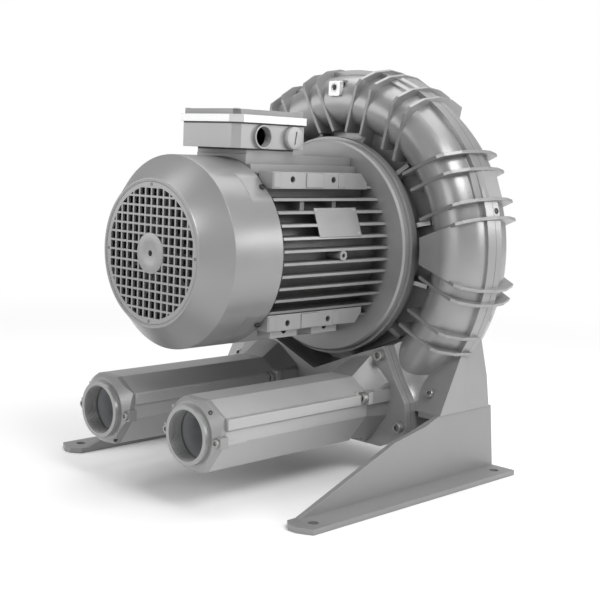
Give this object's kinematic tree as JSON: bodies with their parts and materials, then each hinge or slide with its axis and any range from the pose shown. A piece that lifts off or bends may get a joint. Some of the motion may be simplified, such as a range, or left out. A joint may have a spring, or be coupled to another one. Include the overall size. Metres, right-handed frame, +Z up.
{
  "type": "side channel blower",
  "caption": "Side channel blower with a ribbed ring casing, finned electric motor, terminal box, angular silencers with threaded ports, and bent steel feet.",
  "frame": {"origin": "centre of the four foot holes, on the floor plane", "axes": "+Z up, +Y along the shaft from the fan cowl to the casing, +X towards the cable entries"},
  "size_m": [0.5836, 0.5344, 0.6426],
  "materials": {
    "cast_casing": "sand cast, silver-grey paint",
    "motor_cast": "die cast, silver-grey paint",
    "cowl_sheet": "satin silver-grey paint",
    "box_cast": "bright die cast",
    "tube_profile": "extruded, satin",
    "cap_cast": "die cast, silver-grey paint",
    "foot_sheet": "satin silver-grey paint",
    "zinc_steel": "zinc plated",
    "shaft_steel": "ground",
    "impeller_cast": "cast and turned",
    "core_steel": "laminated",
    "copper_alloy": "enamelled or bare",
    "bearing_steel": "ground",
    "grey_plastic": "moulded",
    "board_plastic": "moulded",
    "seal_rubber": "moulded",
    "liner_sheet": "rolled sheet",
    "foam": "open cell",
    "plate": "rolled"
  },
  "bodies": {
    "housing": {"casing_front": "cast_casing", "casing_rear": "cast_casing", "manifold": "cast_casing", "motor_frame": "motor_cast", "drive_end_shield": "motor_cast", "fan_end_shield": "motor_cast", "fan_cowl": "cowl_sheet", "terminal_box": "box_cast", "terminal_lid": "box_cast", "muffler_tube_right": "tube_profile", "muffler_tube_left": "tube_profile", "muffler_cap_right": "cap_cast", "muffler_cap_left": "cap_cast", "foot_right": "foot_sheet", "foot_left": "foot_sheet", "casing_screws": "zinc_steel", "pedestal_screws": "zinc_steel", "flange_screws": "zinc_steel", "cowl_screws": "zinc_steel", "cap_screws": "zinc_steel", "tube_screws": "zinc_steel", "manifold_screws": "zinc_steel", "foot_bolts": "zinc_steel", "bearing_spring": "zinc_steel", "stator_core": "core_steel", "stator_windings": "copper_alloy", "terminal_studs": "copper_alloy", "drive_end_bearing": "bearing_steel", "fan_end_bearing": "bearing_steel", "blanking_plug": "grey_plastic", "terminal_block": "board_plastic", "shaft_seal": "seal_rubber", "lid_gasket": "seal_rubber", "neck_gasket": "seal_rubber", "manifold_gasket": "seal_rubber", "muffler_liner_right": "liner_sheet", "muffler_liner_left": "liner_sheet", "muffler_foam_right": "foam", "muffler_foam_left": "foam", "nameplate": "plate"},
    "rotor": {"shaft": "shaft_steel", "rotor_core": "core_steel", "impeller": "impeller_cast", "impeller_key": "zinc_steel", "impeller_washer": "zinc_steel", "impeller_nut": "zinc_steel", "cooling_fan": "grey_plastic", "fan_circlip": "zinc_steel", "drive_end_inner_ring": "bearing_steel", "fan_end_inner_ring": "bearing_steel"}
  },
  "joints": [
    {"name": "rotor_spin", "type": "hinge", "parent": "housing", "child": "rotor", "pos_m": [0, 0, 0.351], "axis": [0, 1, 0], "continuous": true}
  ]
}
